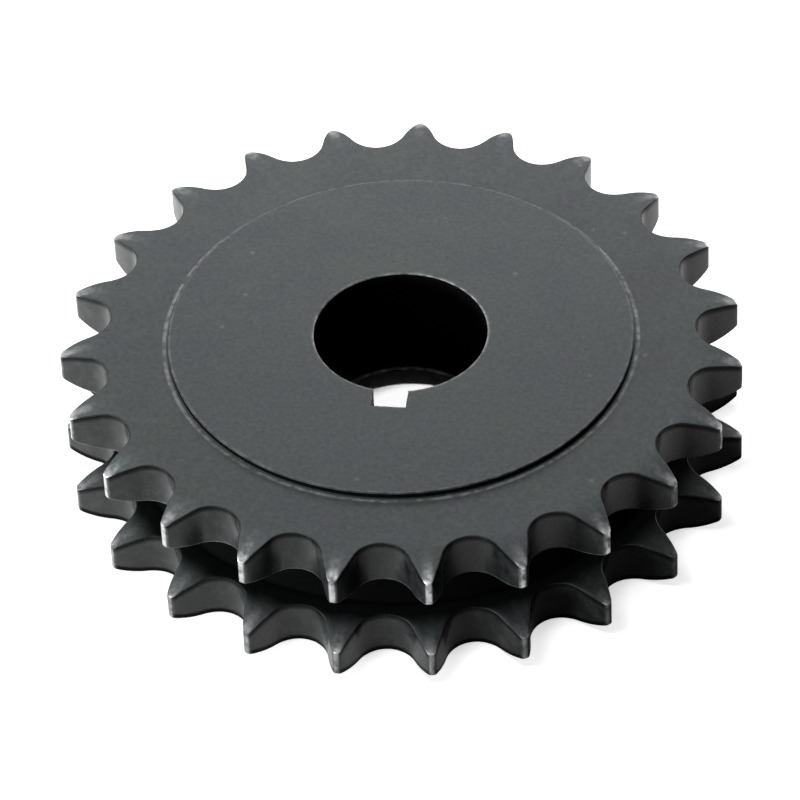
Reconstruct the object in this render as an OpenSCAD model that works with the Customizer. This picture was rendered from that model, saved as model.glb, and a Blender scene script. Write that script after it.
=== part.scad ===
// Duplex roller-chain sprocket: two rows of teeth turned and cut from one piece of steel, with a low
// raised face on top and a plain bore with one keyway.
// Millimetres. The shaft axis is Z, the underside lies on Z = 0 and the keyway points along -Y.

/* [Chain] */
// Distance from roller to roller
chain_pitch = 12.7; // [11.5:0.1:15]
// Diameter of the rollers
roller_d = 8.51; // [7.5:0.01:9.2]
// Distance between the middles of the two strands
strand_spacing = 13.92; // [12:0.01:18]
// Height of the link plates that run between the two rows of teeth
plate_h = 11.8; // [8:0.1:14]

/* [Teeth] */
// Number of teeth in each row
tooth_count = 23; // [19:1:45]
// Width of each row of teeth
tooth_w = 7; // [4:0.1:9]
// Height of the tooth tips above the pitch circle
tip_rise = 2.49; // [1.5:0.01:2.8]
// Room between a roller and its seat, all round
seat_clearance = 0.04; // [0.01:0.01:0.2]
// Angle that the roller seat wraps round the roller
seat_angle = 129; // [120:0.5:136]
// Radius of the rounding on both sides of each tooth
side_r = 15; // [10:0.1:25]
// How far each tooth side falls back at the tip
side_relief = 1.43; // [0.6:0.01:1.8]

/* [Body] */
// Diameter of the raised face
boss_d = 67; // [50:0.5:76]
// Height of the raised face above the teeth
boss_h = 1; // [0.5:0.1:6]
// Room between the link plates and the floor of the groove
plate_clearance = 0.6; // [0.2:0.1:3]
// Corner chamfer at the floor of the groove
groove_chamfer = 0.6; // [0.2:0.1:2]

/* [Shaft] */
// Diameter of the bore
bore_d = 25; // [14:0.1:36]
// Width of the keyway
key_w = 5; // [3:0.1:10]
// Depth of the keyway, from the wall of the bore
key_depth = 3.2; // [1:0.1:6]
// Angle from the keyway to the nearest tooth gap
key_to_gap = 3.1; // [-7:0.1:7]
// Lead-in chamfer at the lower end of the bore
lead_chamfer = 3; // [0.5:0.1:5]
// Chamfer that breaks the other turned edges
edge_break = 0.2; // [0.1:0.05:0.6]

/* [Hidden] */
$fn = 96;

// How far a cutter runs past the material
overcut = 1;
// Overlap of each flank arc with the seat arc, so that the two cross cleanly
flank_overlap = 0.02;
// Angle at which the rounding of a tooth side leaves the flat
side_lead = 3;
// Standard rule for the flank radius: this share of the roller diameter for each tooth, counting two more
flank_share = 0.12;
// Part of the way to the middle of the tooth at which a cutter's mouth ends
mouth_share = 0.97;

tooth_step = 360 / tooth_count;
pitch_r = chain_pitch / 2 / sin(tooth_step / 2);
tip_r = pitch_r + tip_rise;
seat_r = roller_d / 2 + seat_clearance;
flank_r = flank_share * roller_d * (tooth_count + 2);
flank_reach = seat_r + flank_r - flank_overlap;

// The link plates stand on the chords between the rollers, and the groove clears them
chord_r = pitch_r * cos(tooth_step / 2);
groove_r = chord_r - plate_h / 2 - plate_clearance;

// Centre of the rounding of a tooth side, below the flat, and the radius at which it starts
side_drop = side_r * cos(side_lead);
side_centre_r = tip_r - sqrt(pow(side_r, 2) - pow(side_drop - side_relief, 2));
side_start_r = side_centre_r + side_r * sin(side_lead);

bore_r = bore_d / 2;
boss_r = boss_d / 2;
key_floor_r = bore_r + key_depth;
teeth_h = strand_spacing + tooth_w;
full_h = teeth_h + boss_h;

// Direction from a roller's centre towards one end of its seat: side is -1 or 1
function seat_end(side) = [-cos(seat_angle / 2), side * sin(seat_angle / 2)];

// A point of the plane at a radius and an angle
function polar(r, angle) = [r * cos(angle), r * sin(angle)];

// The space for one roller, on the +X side. The mouth's corners lie inside the two teeth,
// where the flank circles trim them off.
module tooth_gap() {
    roller = [pitch_r, 0];
    mouth_angle = mouth_share * tooth_step / 2;
    difference() {
        union() {
            translate(roller)
                circle(r = seat_r);
            polygon([
                roller,
                roller + (seat_r + flank_r / 4) * seat_end(-1),
                polar(tip_r + overcut, -mouth_angle),
                polar(tip_r + overcut, mouth_angle),
                roller + (seat_r + flank_r / 4) * seat_end(1)
            ]);
        }
        for (side = [-1, 1])
            translate(roller + flank_reach * seat_end(side))
                circle(r = flank_r);
    }
}

// What the rounding takes off the upper side of a row of teeth, with the flat at height 0
module side_rounding() {
    difference() {
        translate([side_centre_r, -2 * side_relief])
            square([tip_r - side_centre_r + overcut, 2 * side_relief + overcut]);
        translate([side_centre_r, -side_drop])
            circle(r = side_r);
        translate([side_centre_r - overcut, -2 * side_relief - overcut])
            square([side_start_r - side_centre_r + overcut, 2 * (side_relief + overcut)]);
    }
}

// Half section of the turned blank: radius along X, height along Y
module blank_section() {
    difference() {
        polygon([
            [bore_r, lead_chamfer],
            [bore_r + lead_chamfer, 0],
            [tip_r, 0],
            [tip_r, tooth_w],
            [groove_r + groove_chamfer, tooth_w],
            [groove_r, tooth_w + groove_chamfer],
            [groove_r, strand_spacing - groove_chamfer],
            [groove_r + groove_chamfer, strand_spacing],
            [tip_r, strand_spacing],
            [tip_r, teeth_h],
            [boss_r, teeth_h],
            [boss_r, full_h - edge_break],
            [boss_r - edge_break, full_h],
            [bore_r + edge_break, full_h],
            [bore_r, full_h - edge_break]
        ]);
        for (row_z = [0, strand_spacing]) {
            translate([0, row_z + tooth_w])
                side_rounding();
            translate([0, row_z])
                mirror([0, 1])
                    side_rounding();
        }
    }
}

// The slot for the key, along the whole bore
module keyway() {
    translate([-key_w / 2, -key_floor_r, -overcut])
        cube([key_w, key_floor_r, full_h + 2 * overcut]);
}

// The whole sprocket: a turned blank, with the gaps cut through both rows at once
module sprocket() {
    color([0.22, 0.23, 0.24])
        difference() {
            rotate_extrude()
                blank_section();
            for (i = [0 : tooth_count - 1])
                rotate(key_to_gap - 90 + i * tooth_step)
                    translate([0, 0, -overcut])
                        linear_extrude(teeth_h + 2 * overcut)
                            tooth_gap();
            keyway();
        }
}

sprocket();
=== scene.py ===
"""Looks of the duplex chain sprocket: a finely meshed body with broken edges, blackened steel, studio light."""

import math

import bpy
import numpy as np
from mathutils import Matrix, Vector


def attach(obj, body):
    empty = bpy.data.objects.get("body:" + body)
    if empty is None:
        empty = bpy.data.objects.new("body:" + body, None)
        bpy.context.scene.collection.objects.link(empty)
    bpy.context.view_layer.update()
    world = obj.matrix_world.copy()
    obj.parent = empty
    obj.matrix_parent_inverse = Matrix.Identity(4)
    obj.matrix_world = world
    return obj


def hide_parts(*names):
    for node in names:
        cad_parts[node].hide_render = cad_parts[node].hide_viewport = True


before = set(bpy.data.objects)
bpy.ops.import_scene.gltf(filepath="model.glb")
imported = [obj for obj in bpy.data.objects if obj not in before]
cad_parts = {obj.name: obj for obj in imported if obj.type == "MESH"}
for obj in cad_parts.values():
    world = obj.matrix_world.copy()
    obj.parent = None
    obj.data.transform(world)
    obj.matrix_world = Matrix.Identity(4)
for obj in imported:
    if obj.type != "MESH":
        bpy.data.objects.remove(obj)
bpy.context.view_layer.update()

MM = 0.001

# Chain and teeth, in millimetres, as in the part's source
CHAIN_PITCH = 12.7
ROLLER_D = 8.51
STRAND_SPACING = 13.92
PLATE_H = 11.8
TOOTH_COUNT = 23
TOOTH_W = 7.0
TIP_RISE = 2.49
SEAT_CLEARANCE = 0.04
SEAT_ANGLE = math.radians(129)
FLANK_SHARE = 0.12
SIDE_R = 15.0
SIDE_RELIEF = 1.43
SIDE_LEAD = math.radians(3)

# Body and shaft
BOSS_D = 67.0
BOSS_H = 1.0
PLATE_CLEARANCE = 0.6
GROOVE_CHAMFER = 0.6
BORE_D = 25.0
KEY_W = 5.0
KEY_DEPTH = 3.2
KEY_ANGLE = math.radians(-90)
KEY_TO_GAP = math.radians(3.1)
LEAD_CHAMFER = 3.0

# Broken edges
TOOTH_EDGE = 0.16
TIP_CORNER = 0.4
TURNED_EDGE = 0.2
BOSS_FOOT = 0.15

# Sizes that follow
TOOTH_STEP = 2 * math.pi / TOOTH_COUNT
PITCH_R = CHAIN_PITCH / 2 / math.sin(TOOTH_STEP / 2)
TIP_R = PITCH_R + TIP_RISE
SEAT_R = ROLLER_D / 2 + SEAT_CLEARANCE
FLANK_R = FLANK_SHARE * ROLLER_D * (TOOTH_COUNT + 2)
GROOVE_R = PITCH_R * math.cos(TOOTH_STEP / 2) - PLATE_H / 2 - PLATE_CLEARANCE
BORE_R = BORE_D / 2
BOSS_R = BOSS_D / 2
KEY_FLOOR_R = BORE_R + KEY_DEPTH
KEY_MOUTH_ANGLE = math.asin(KEY_W / 2 / BORE_R)
TEETH_H = STRAND_SPACING + TOOTH_W
FULL_H = TEETH_H + BOSS_H
FIRST_GAP = KEY_ANGLE + KEY_TO_GAP

SIDE_DROP = SIDE_R * math.cos(SIDE_LEAD)
SIDE_CENTRE_R = TIP_R - math.sqrt(SIDE_R ** 2 - (SIDE_DROP - SIDE_RELIEF) ** 2)
SIDE_START_R = SIDE_CENTRE_R + SIDE_R * math.sin(SIDE_LEAD)

# Rings of the mesh on the sides of a row: they start a little inside the roots of the gaps
ROW_START_R = PITCH_R - SEAT_R - 1.0
SIDE_STEPS = (0.0, 0.15, 0.35, 0.55, 0.75, 0.92)

# Wear, painted highlights and painted shade on the teeth: the land is the narrow rim at a tip, and painted shade lies
# on the sides near the groove
LAND_START_R = TIP_R - 0.12
LAND_BLEND = 0.1
TIP_WEAR_AND_GLINT_REACH = 1.2
TOP_SHADE_FADE_R = TIP_R - 6.3
TOP_SHADE_FADE_W = 2.8

# How the two rows differ: wear of the lands, wear and painted highlight at the tips, painted highlight on the lower
# edge with painted shade under the row, and painted shade on top and at the foot
UPPER_LOOKS = {"z": STRAND_SPACING, "land": 1.0, "tip": 1.0, "edge_highlight_and_under_shade": 1.0, "top_shade": 0.0, "foot": 0.0}
LOWER_LOOKS = {"z": 0.0, "land": 0.25, "tip": 0.6, "edge_highlight_and_under_shade": 0.0, "top_shade": 0.9, "foot": 0.9}


def seat_point(turn):
    """A point of the roller seat of a gap on +X: turn is measured at the roller's centre, from the root."""
    return np.array([PITCH_R - SEAT_R * math.cos(turn), SEAT_R * math.sin(turn)])


SEAT_END = seat_point(SEAT_ANGLE / 2)
SEAT_END_ANGLE = math.atan2(SEAT_END[1], SEAT_END[0])
FLANK_CENTRE = SEAT_END + FLANK_R * (SEAT_END - np.array([PITCH_R, 0.0])) / SEAT_R


def flank_radius(angle):
    """Radius of the flank arc at this angle from the middle of a gap."""
    along = FLANK_CENTRE[0] * np.cos(angle) + FLANK_CENTRE[1] * np.sin(angle)
    return along + np.sqrt(np.maximum(along ** 2 - FLANK_CENTRE @ FLANK_CENTRE + FLANK_R ** 2, 0))


def outline_radius(angles):
    """Radius of the tooth outline at these angles about the shaft."""
    local = np.mod(angles - FIRST_GAP + TOOTH_STEP / 2, TOOTH_STEP) - TOOTH_STEP / 2
    a = np.abs(local)
    seat = PITCH_R * np.cos(a) - np.sqrt(np.maximum(SEAT_R ** 2 - (PITCH_R * np.sin(a)) ** 2, 0))
    r = np.where(a <= SEAT_END_ANGLE, seat, flank_radius(a))
    # A smooth minimum with the tip circle rounds the corners of the tip
    mix = np.clip(0.5 + 0.5 * (TIP_R - r) / TIP_CORNER, 0, 1)
    return TIP_R + (r - TIP_R) * mix - TIP_CORNER * mix * (1 - mix)


def bore_radius(angles):
    """Radius of the bore's outline at these angles, with the keyway in it."""
    a = np.abs(np.mod(angles - KEY_ANGLE + math.pi, 2 * math.pi) - math.pi)
    wall = KEY_W / 2 / np.maximum(np.sin(a), 1e-6)
    floor = KEY_FLOOR_R / np.maximum(np.cos(a), 0.1)
    return np.where(a < KEY_MOUTH_ANGLE, np.minimum(wall, floor), BORE_R)


def side_fall(r):
    """How far the side of a tooth lies below its flat at this radius."""
    out = np.clip(r - SIDE_CENTRE_R, 0, None)
    return np.where(r > SIDE_START_R, SIDE_DROP - np.sqrt(SIDE_R ** 2 - out ** 2), 0.0)


def flank_end_angle():
    """The angle from the middle of a gap at which the flank reaches the tip circle, by halving."""
    low, high = SEAT_END_ANGLE, TOOTH_STEP / 2
    for _ in range(60):
        mid = (low + high) / 2
        low, high = (mid, high) if flank_radius(mid) < TIP_R else (low, mid)
    return low


def column_angles():
    """The angles of the mesh's columns: close together on the flanks and the keyway, wider on the seats."""
    tip_angle = flank_end_angle()
    half = [math.atan2(*seat_point(t)[::-1]) for t in np.linspace(0, SEAT_ANGLE / 2, 9)]
    half += list(np.linspace(SEAT_END_ANGLE, tip_angle, 10)[1:])
    half += list(np.linspace(tip_angle, TOOTH_STEP / 2, 3)[1:])
    half = np.array(half)
    sector = np.concatenate([half, TOOTH_STEP - half[1:-1][::-1]])
    teeth = np.concatenate([FIRST_GAP + i * TOOTH_STEP + sector for i in range(TOOTH_COUNT)])
    corner = math.atan2(KEY_W / 2, KEY_FLOOR_R)
    key = np.concatenate([np.linspace(corner, KEY_MOUTH_ANGLE, 5), np.linspace(0, corner, 6)[1:-1]])
    key = np.concatenate([KEY_ANGLE + key, KEY_ANGLE - key])
    key = np.mod(key - FIRST_GAP, 2 * math.pi)
    teeth = np.mod(teeth - FIRST_GAP, 2 * math.pi)
    # Columns of the teeth that nearly meet one of the keyway give way to it
    near = np.abs(teeth[:, None] - key[None, :]).min(axis=1) < math.radians(0.04)
    return FIRST_GAP + np.sort(np.concatenate([teeth[~near], key]))


class Section:
    """Collects the rings of the closed section, each with a radius and a height for every column.

    Each ring also says how bare its metal is or how much highlight is painted on it, how much shade is painted on it,
    and whether the tooth cutter made it (milled).
    """

    def __init__(self, count):
        self.count = count
        self.rings = []

    def add(self, r, z, wear=0.0, dark=0.0, milled=0.0):
        """One ring; each value is a number or an array with one number for every column."""
        values = (np.asarray(value, float) for value in (r, z, wear, dark, milled))
        self.rings.append([np.broadcast_to(value, (self.count,)) for value in values])

    def arc(self, start, end, corner, steps=4, wear=0.0, dark=0.0):
        """A rounded corner from start to end, both (r, z), bulging towards corner, without its two end rings."""
        for t in np.linspace(0, 1, steps + 1)[1:-1]:
            s, c = math.sin(t * math.pi / 2), math.cos(t * math.pi / 2)
            r = corner[0] + (start[0] - corner[0]) * (1 - s) + (end[0] - corner[0]) * (1 - c)
            z = corner[1] + (start[1] - corner[1]) * (1 - s) + (end[1] - corner[1]) * (1 - c)
            self.add(r, z, wear, dark)


def tooth_row(section, outline, inset, looks):
    """One row of teeth: its upper side outwards, its rim downwards and its lower side back inwards."""
    bottom, top = looks["z"], looks["z"] + TOOTH_W
    inner = outline - inset
    side = [ROW_START_R + (inner - ROW_START_R) * t for t in SIDE_STEPS]
    land = np.clip((outline - LAND_START_R) / LAND_BLEND, 0, 1)
    milled = 1 - land
    tip = looks["tip"] * np.clip((outline - (TIP_R - TIP_WEAR_AND_GLINT_REACH)) / TIP_WEAR_AND_GLINT_REACH, 0, 1) ** 2
    foot = looks["foot"]

    def top_shade(r):
        """Painted shade on the upper side, fading towards the tips."""
        return looks["top_shade"] * (1 - 0.9 * np.clip((r - TOP_SHADE_FADE_R) / TOP_SHADE_FADE_W, 0, 1))

    # Upper side and its broken edge: near the tips bare from wear and paler from a painted highlight, away from them
    # painted shade on the edge, and painted shade over the lower row's upper side
    for t, r in zip(SIDE_STEPS, side):
        section.add(r, top - side_fall(r), 0.5 * tip * t ** 4, top_shade(r))
    up = (inner, top - side_fall(inner))
    rim_up = (outline, top - side_fall(outline) - TOOTH_EDGE)
    section.add(*up, wear=0.6 * tip, dark=top_shade(inner))
    section.arc(up, rim_up, (outline, top - side_fall(outline)), wear=0.85 * tip,
                dark=np.maximum(0.65 * (1 - tip), top_shade(outline)))
    section.add(*rim_up, wear=looks["land"] * land, dark=np.maximum(0.75 * milled, top_shade(outline)), milled=milled)

    # Wall: seats, flanks and lands, with a band of painted shade just below the upper rim of the milled walls and, on
    # the lower row, painted shade at the foot
    rim_down = (outline, bottom + side_fall(outline) + TOOTH_EDGE)
    wall = rim_up[1] - rim_down[1]
    for down_mm, dark in ((0.1, 0.85), (0.5, 0.65), (0.95, 0.0), (wall / 2, 0.0),
                          (wall - 0.9, 0.0), (wall - 0.5, foot), (wall - 0.1, foot)):
        section.add(outline, rim_up[1] - down_mm, looks["land"] * land, dark * milled, milled)

    # Lower edge and lower side: worn lands, a painted highlight along the upper row's lower edge, painted shade under
    # that row towards the groove, and painted shade at the lower row's foot
    down = (inner, bottom + side_fall(inner))
    section.add(*rim_down, wear=0.12 * looks["edge_highlight_and_under_shade"] + 0.4 * looks["land"] * land, dark=foot * milled, milled=milled)
    section.arc(rim_down, down, (outline, bottom + side_fall(outline)), wear=0.15 * looks["edge_highlight_and_under_shade"], dark=foot)
    section.add(*down, wear=0.1 * looks["edge_highlight_and_under_shade"], dark=foot)
    for t, r in reversed(list(zip(SIDE_STEPS, side))):
        section.add(r, bottom + side_fall(r), dark=0.6 * looks["edge_highlight_and_under_shade"] * (1 - t))


def body_section(angles):
    """The whole closed section at every column, from the bore's upper edge round to the bore's wall."""
    outline, bore = outline_radius(angles), bore_radius(angles)
    small = 1e-5
    slope = (outline_radius(angles + small) - outline_radius(angles - small)) / (2 * small)
    inset = TOOTH_EDGE * np.sqrt(1 + (slope / outline) ** 2)
    keyed = bore > BORE_R + 0.02
    e, g = TURNED_EDGE, GROOVE_CHAMFER
    s = Section(len(angles))

    # Raised face, its edge and its foot: painted highlights along the face's edges and in a ring outside the foot,
    # and painted shade on the bore's top, the raised face's wall and its foot
    s.add(bore, FULL_H - e, dark=1.0)
    s.arc((bore, FULL_H - e), (bore + e, FULL_H), (bore, FULL_H), wear=0.22)
    for t, wear in ((0.0, 0.15), (0.012, 0.0), (0.2, 0.0), (0.5, 0.0), (0.8, 0.0), (0.985, 0.0), (1.0, 0.1)):
        s.add(bore + e + (BOSS_R - bore - 2 * e) * t, FULL_H, wear)
    s.arc((BOSS_R - e, FULL_H), (BOSS_R, FULL_H - e), (BOSS_R, FULL_H), wear=0.05, dark=0.7)
    s.add(BOSS_R, FULL_H - e, dark=1.0)
    s.add(BOSS_R, TEETH_H + BOSS_FOOT, dark=1.0)
    s.arc((BOSS_R, TEETH_H + BOSS_FOOT), (BOSS_R + BOSS_FOOT, TEETH_H), (BOSS_R, TEETH_H), dark=0.7)
    for out, wear in ((0.0, 0.0), (0.05, 0.0), (0.2, 0.2), (0.55, 0.2), (0.75, 0.0)):
        s.add(BOSS_R + BOSS_FOOT + out, TEETH_H, wear)
    s.add((BOSS_R + ROW_START_R) / 2, TEETH_H)

    # Upper row, groove painted black as shade, lower row
    tooth_row(s, outline, inset, UPPER_LOOKS)
    s.add(GROOVE_R + g, STRAND_SPACING, dark=1.0)
    s.arc((GROOVE_R + g, STRAND_SPACING), (GROOVE_R, STRAND_SPACING - g), (GROOVE_R, STRAND_SPACING), dark=1.0)
    for z in (STRAND_SPACING - g, (STRAND_SPACING + TOOTH_W) / 2, TOOTH_W + g):
        s.add(GROOVE_R, z, dark=1.0)
    s.arc((GROOVE_R, TOOTH_W + g), (GROOVE_R + g, TOOTH_W), (GROOVE_R, TOOTH_W), dark=1.0)
    s.add(GROOVE_R + g, TOOTH_W, dark=1.0)
    tooth_row(s, outline, inset, LOWER_LOOKS)

    # Underside, then the lead-in chamfer, which is shorter where the keyway cuts into it; the chamfer carries painted
    # shade, with painted highlight lines along its edges
    lead = np.maximum(LEAD_CHAMFER - (bore - BORE_R), e)
    for t in (0.15, 0.5, 0.8, 0.98):
        s.add(ROW_START_R + (bore + lead - ROW_START_R) * t, 0.0)
    for t, wear, dark in ((0.0, 0.3, 0.0), (0.03, 0.0, 0.85), (0.88, 0.0, 0.85), (0.95, 0.4, 0.3), (1.0, 0.4, 0.3)):
        s.add(bore + lead * (1 - t), lead * t, wear, dark)

    # Bore and keyway, painted black as shade and the keyway less so, with a painted highlight line at the bore's
    # lower edge
    for t, wear, dark in ((0.015, 0.3, 0.0), (0.04, 0.0, 1.0), (0.3, 0.0, 1.0), (0.6, 0.0, 1.0), (0.97, 0.0, 1.0)):
        s.add(bore, lead + (FULL_H - e - lead) * t, np.where(keyed, 0.1, wear), np.where(keyed, 0.4, dark))
    return s.rings


def make_sprocket():
    """The sprocket as one closed grid: columns round the shaft, rings round the section."""
    angles = column_angles()
    r, z, wear, dark, milled = (np.stack(values) for values in zip(*body_section(angles)))
    verts = np.stack([r * np.cos(angles), r * np.sin(angles), z], axis=-1)
    here = np.arange(r.size).reshape(r.shape)
    after = np.roll(here, -1, axis=0)
    faces = np.stack([here, after, np.roll(after, -1, axis=1), np.roll(here, -1, axis=1)], axis=-1)
    mesh = bpy.data.meshes.new("sprocket_body")
    mesh.from_pydata((verts.reshape(-1, 3) * MM).tolist(), [], faces.reshape(-1, 4).tolist())
    for name, values in (("wear", wear), ("dark", dark), ("milled", milled)):
        layer = mesh.attributes.new(name, "FLOAT", "POINT")
        layer.data.foreach_set("value", values.reshape(-1).astype(np.float32))
    mesh.shade_smooth()
    mesh.set_sharp_from_angle(angle=math.radians(50))
    mesh.update()
    piece = bpy.data.objects.new("sprocket_body", mesh)
    bpy.context.scene.collection.objects.link(piece)
    return piece


class Nodes:
    """Short hand for building a node tree."""

    def __init__(self, tree):
        self.tree = tree

    def first(self, kind):
        """The node of this type that the tree came with."""
        return next(node for node in self.tree.nodes if node.type == kind)

    def put(self, socket, value):
        """Links a socket to another one, or sets its constant."""
        if isinstance(value, bpy.types.NodeSocket):
            self.tree.links.new(value, socket)
        else:
            socket.default_value = value

    def new(self, kind, inputs=None, **settings):
        node = self.tree.nodes.new(kind)
        for key, value in settings.items():
            setattr(node, key, value)
        for key, value in (inputs or {}).items():
            self.put(node.inputs[key], value)
        return node

    def noise(self, where, scale, detail=3.0, rough=0.55):
        inputs = {"Vector": where, "Scale": scale, "Detail": detail, "Roughness": rough}
        return self.new("ShaderNodeTexNoise", inputs).outputs["Fac"]

    def span(self, value, low, high, to_low=0.0, to_high=1.0):
        """Takes the range from low to high to another one, and holds its ends beyond."""
        inputs = {"Value": value, "From Min": low, "From Max": high, "To Min": to_low, "To Max": to_high}
        return self.new("ShaderNodeMapRange", inputs).outputs["Result"]

    def math(self, operation, a, b):
        return self.new("ShaderNodeMath", {0: a, 1: b}, operation=operation).outputs[0]

    def mix(self, factor, a, b, blend="MIX"):
        node = self.new("ShaderNodeMix", data_type="RGBA", blend_type=blend)
        for key, value in (("Factor_Float", factor), ("A_Color", a), ("B_Color", b)):
            self.put(next(i for i in node.inputs if i.identifier == key), value)
        return next(o for o in node.outputs if o.identifier == "Result_Color")

    def attribute(self, name):
        return self.new("ShaderNodeAttribute", attribute_name=name).outputs["Fac"]

    def seen(self):
        """1 where the camera, a reflection or a refraction looks, 0 for light that only shines on things."""
        path = self.new("ShaderNodeLightPath").outputs
        clear = self.math("MAXIMUM", path["Is Glossy Ray"], path["Is Transmission Ray"])
        return self.math("MAXIMUM", path["Is Camera Ray"], clear)


# Colours of the steel: oxide, its patches and flecks, black for painted shade, and a pale grey for bare metal and
# painted highlights
OXIDE_GREEN = (0.0440, 0.0525, 0.0510, 1)
OXIDE_BLUE = (0.0500, 0.0550, 0.0595, 1)
LIGHT_PATCH = (0.073, 0.080, 0.079, 1)
FLECK = (0.135, 0.142, 0.14, 1)
PAINTED_SHADE_BLACK = (0.001, 0.001, 0.001, 1)
BARE_METAL_AND_HIGHLIGHT = (0.68, 0.68, 0.69, 1)

# Specular levels of the oxide, of the milled walls and of bare metal
OXIDE_GLOSS = 0.13
MILLED_GLOSS = 0.4
METAL_GLOSS = 0.5

# How much smoother bare metal and the milled walls are than the oxide
METAL_SMOOTHER = 0.12
MILLED_SMOOTHER = 0.24


def blackened_steel():
    """Matt black oxide: mottled grey, darker (partly painted shade) and smoother where milled, black where shade is
    painted, bare and pale where worn and where a highlight is painted.
    """
    material = bpy.data.materials.new("blackened_steel")
    material.use_nodes = True
    n = Nodes(material.node_tree)
    shader = n.first("BSDF_PRINCIPLED").inputs
    where = n.new("ShaderNodeTexCoord").outputs["Object"]
    milled, dark = n.attribute("milled"), n.attribute("dark")

    # Oxide, in soft clouds, patches, grain and a few flecks
    cloud = n.noise(where, 160.0, 4.0)
    grain = n.noise(where, 1500.0, 3.0, 0.7)
    patch = n.noise(where, 420.0, 2.0)
    oxide = n.mix(n.span(cloud, 0.35, 0.65), OXIDE_GREEN, OXIDE_BLUE)
    oxide = n.mix(n.span(patch, 0.58, 0.75, 0.0, 0.25), oxide, LIGHT_PATCH)
    oxide = n.mix(1.0, oxide, n.span(grain, 0.3, 0.7, 0.74, 1.26), "MULTIPLY")
    flecks = n.new("ShaderNodeTexVoronoi", {"Vector": where, "Scale": 150.0}).outputs["Distance"]
    oxide = n.mix(n.span(flecks, 0.03, 0.075, 0.5, 0.0), oxide, FLECK)

    # Milled walls darkened by blotchy stains that are partly painted shade, then painted shade, then bare metal and
    # painted highlights that show in blotches
    stain_and_shade = n.span(n.noise(where, 650.0, 4.0, 0.65), 0.32, 0.68, 0.1, 0.4)
    oxide = n.mix(milled, oxide, n.mix(1.0, oxide, stain_and_shade, "MULTIPLY"))
    shaded = n.mix(n.span(dark, 0.0, 1.0, 0.0, 0.98), oxide, PAINTED_SHADE_BLACK)
    blotches = n.span(n.noise(where, 700.0, 4.0), 0.38, 0.6, 0.15, 1.0)
    wear = n.math("MULTIPLY", n.attribute("wear"), blotches)
    wear = n.math("MULTIPLY", wear, n.span(grain, 0.35, 0.6, 0.7, 1.0))
    n.put(shader["Base Color"], n.mix(wear, shaded, BARE_METAL_AND_HIGHLIGHT))
    n.put(shader["Metallic"], n.span(wear, 0.15, 0.8))

    rough = n.span(cloud, 0.3, 0.7, 0.42, 0.52)
    rough = n.math("SUBTRACT", rough, n.math("MULTIPLY", wear, METAL_SMOOTHER))
    rough = n.math("SUBTRACT", rough, n.math("MULTIPLY", milled, MILLED_SMOOTHER))
    n.put(shader["Roughness"], rough)
    gloss = n.math("MAXIMUM", n.span(wear, 0.0, 0.6, OXIDE_GLOSS, METAL_GLOSS),
                   n.span(milled, 0.0, 1.0, OXIDE_GLOSS, MILLED_GLOSS))
    # Where shade is painted, the gloss goes too
    n.put(shader["Specular IOR Level"], n.math("MULTIPLY", n.math("SUBTRACT", 1.0, dark), gloss))
    bump = n.new("ShaderNodeBump", {"Height": grain, "Strength": 0.12, "Distance": 0.00004})
    n.put(shader["Normal"], bump.outputs["Normal"])
    return material


# Greys of the floor: as paper, as mirrored in a painted shadow, as the camera sees it through the bore, where one
# lamp alone reaches it, and as light falls back from it
PAPER = (0.9, 0.9, 0.9, 1)
SHADOW_PAPER = (0.1, 0.1, 0.1, 1)
BORE_PAPER = (3.5, 3.5, 3.5, 1)
DULL_PAPER = (0.04, 0.04, 0.04, 1)

# Glow that the floor adds to its lit paper: for the camera, and as mirrored on the left, on the right and at the foot
CAMERA_GLOW = 0.7
LEFT_GLOW = 0.6
RIGHT_GLOW = 0.03
FOOT_GLOW = 0.5


def make_floor():
    """A plain pale floor: white to the camera, lit paper with the lamps' shadows and a painted shadow on the right to
    gloss.
    """
    bpy.ops.mesh.primitive_plane_add(size=8.0, location=(0, 0, 0))
    floor = bpy.context.object
    floor.name = "floor"
    material = bpy.data.materials.new("pale_floor")
    material.use_nodes = True
    n = Nodes(material.node_tree)
    n.tree.nodes.remove(n.first("BSDF_PRINCIPLED"))
    camera_ray = n.new("ShaderNodeLightPath").outputs["Is Camera Ray"]

    # Zones, in metres: past the bore, close to the teeth, and a painted shadow close to the teeth on the right
    spot = n.new("ShaderNodeTexCoord").outputs["Object"]
    away = n.new("ShaderNodeVectorMath", {0: spot}, operation="LENGTH").outputs["Value"]
    across = n.new("ShaderNodeSeparateXYZ", {0: spot}).outputs["X"]
    outside = n.span(away, 0.025, 0.045)
    near = n.span(away, 0.05, 0.062, 1.0, 0.0)
    shadow = n.math("MULTIPLY", n.span(across, 0.0, 0.025), near)

    paper = n.mix(camera_ray, n.mix(shadow, PAPER, SHADOW_PAPER), n.mix(outside, BORE_PAPER, PAPER))
    paper = n.new("ShaderNodeBsdfDiffuse", {"Color": paper}).outputs[0]
    mirrored = n.math("ADD", n.span(across, -0.07, -0.03, LEFT_GLOW, RIGHT_GLOW),
                      n.math("MULTIPLY", n.span(across, -0.05, 0.025, FOOT_GLOW, 0.0), near))
    glow = n.math("MULTIPLY", outside, n.span(camera_ray, 0.0, 1.0, mirrored, CAMERA_GLOW))
    glow = n.new("ShaderNodeEmission", {"Color": (1, 1, 1, 1), "Strength": glow}).outputs[0]
    white = n.new("ShaderNodeAddShader", {0: paper, 1: glow}).outputs[0]
    dull = n.new("ShaderNodeBsdfDiffuse", {"Color": DULL_PAPER}).outputs[0]
    surface = n.new("ShaderNodeMixShader", {0: n.seen(), 1: dull, 2: white}).outputs[0]
    n.put(n.first("OUTPUT_MATERIAL").inputs["Surface"], surface)
    floor.data.materials.append(material)


# Strength of the world as light
FILL = 0.005


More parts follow.
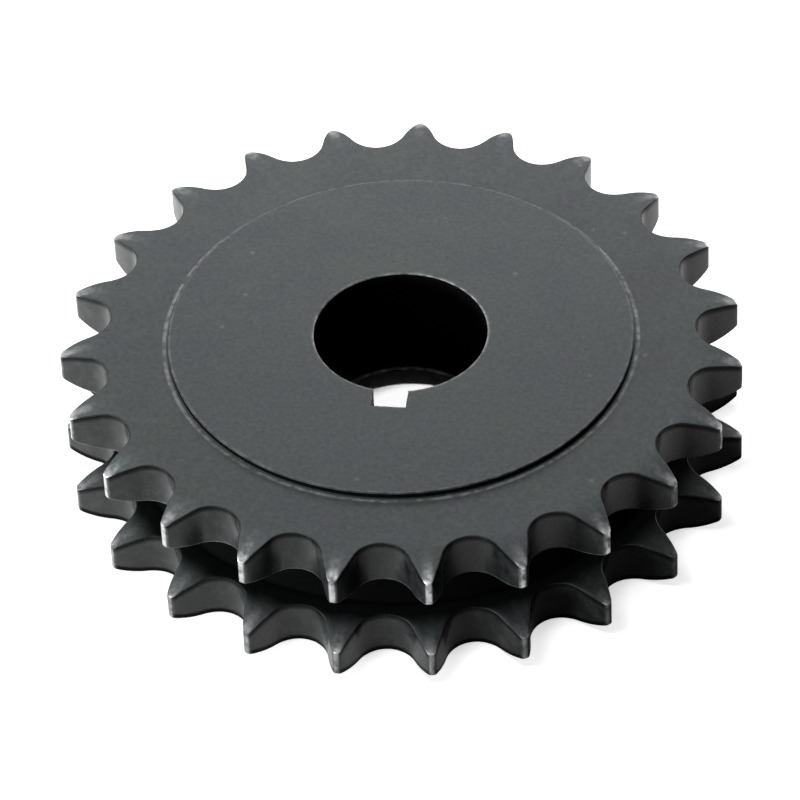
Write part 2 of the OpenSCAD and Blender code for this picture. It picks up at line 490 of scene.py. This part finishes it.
def make_world():
    """White where the camera and gloss look, and hardly any light by itself."""
    world = bpy.data.worlds.new("studio")
    bpy.context.scene.world = world
    world.use_nodes = True
    n = Nodes(world.node_tree)
    background = n.first("BACKGROUND").inputs
    n.put(background["Color"], (1, 1, 1, 1))
    n.put(background["Strength"], n.span(n.seen(), 0.0, 1.0, FILL, 1.0))


# Soft boxes: name, distance in metres, azimuth and height in degrees, width and height in metres, power in watts
LAMPS = (
    ("key", 1.2, 197.7, 84.3, (0.14, 0.14), 4.0),
    ("back_left", 0.8, 145.0, 65.0, (0.3, 0.3), 1.95),
    ("front_left_high", 0.8, 226.0, 20.0, (0.4, 0.15), 0.9),
    ("front_left", 0.8, 226.0, 4.0, (0.6, 0.1), 9.8),
    ("left", 0.8, 187.5, 4.0, (0.42, 0.1), 8.2),
    ("back", 0.17, 95.0, 35.0, (0.16, 0.05), 0.15),
    ("right_back", 0.8, 55.0, 6.0, (0.3, 0.1), 4.5),
)
LAMP_TARGET = Vector((0, 0, 12 * MM))


def area_light(name, distance, azimuth, height, size, power):
    """A soft box that faces the sprocket."""
    data = bpy.data.lights.new(name, "AREA")
    data.shape = "RECTANGLE"
    data.size, data.size_y = size
    data.energy = power
    lamp = bpy.data.objects.new(name, data)
    around, above = math.radians(azimuth), math.radians(height)
    to_lamp = Vector((math.cos(above) * math.cos(around), math.cos(above) * math.sin(around), math.sin(above)))
    lamp.location = LAMP_TARGET + to_lamp * distance
    lamp.rotation_euler = to_lamp.to_track_quat("Z", "Y").to_euler()
    lamp.visible_camera = False
    bpy.context.scene.collection.objects.link(lamp)


# Camera, from the outline fit: its distance in chain pitches, the picture's scale there, and angles in radians
PITCHES_AWAY = 62.605
PX_PER_PITCH = 88.4514
ELEVATION = 0.7371
ROLL = -0.0475
CAMERA_TURN = math.radians(8.35)
PHOTO_SIZE = 800
PHOTO_ORIGIN = (400.83, 336.67)
SENSOR = 36.0


def make_camera():
    """The camera at the photo's angle: it looks so that the middle of the upper side lands on its pixel."""
    distance = PITCHES_AWAY * CHAIN_PITCH * MM
    focal_px = PX_PER_PITCH * PITCHES_AWAY
    target = Vector((0, 0, TEETH_H * MM))
    turn = Matrix.Rotation(CAMERA_TURN, 3, "Z")
    back = turn @ Vector((0, -math.cos(ELEVATION), math.sin(ELEVATION)))
    right = turn @ Vector((1, 0, 0))
    up = back.cross(right)
    base = Matrix((right, up, back)).transposed() @ Matrix.Rotation(ROLL, 3, "Z")
    half = PHOTO_SIZE / 2
    seen = Vector((PHOTO_ORIGIN[0] - half, half - PHOTO_ORIGIN[1], -focal_px))
    aim = seen.rotation_difference(Vector((0, 0, -1))).to_matrix()
    data = bpy.data.cameras.new("camera")
    data.sensor_width = SENSOR
    data.lens = focal_px * SENSOR / PHOTO_SIZE
    data.clip_end = 20
    camera = bpy.data.objects.new("camera", data)
    camera.matrix_world = Matrix.Translation(target + back * distance) @ (base @ aim).to_4x4()
    bpy.context.scene.collection.objects.link(camera)
    bpy.context.scene.camera = camera


sprocket = make_sprocket()
sprocket.data.materials.append(blackened_steel())
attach(sprocket, "root")
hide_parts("sprocket")

make_floor()
make_world()
for lamp in LAMPS:
    area_light(*lamp)
make_camera()
bpy.context.scene.view_settings.view_transform = "Standard"
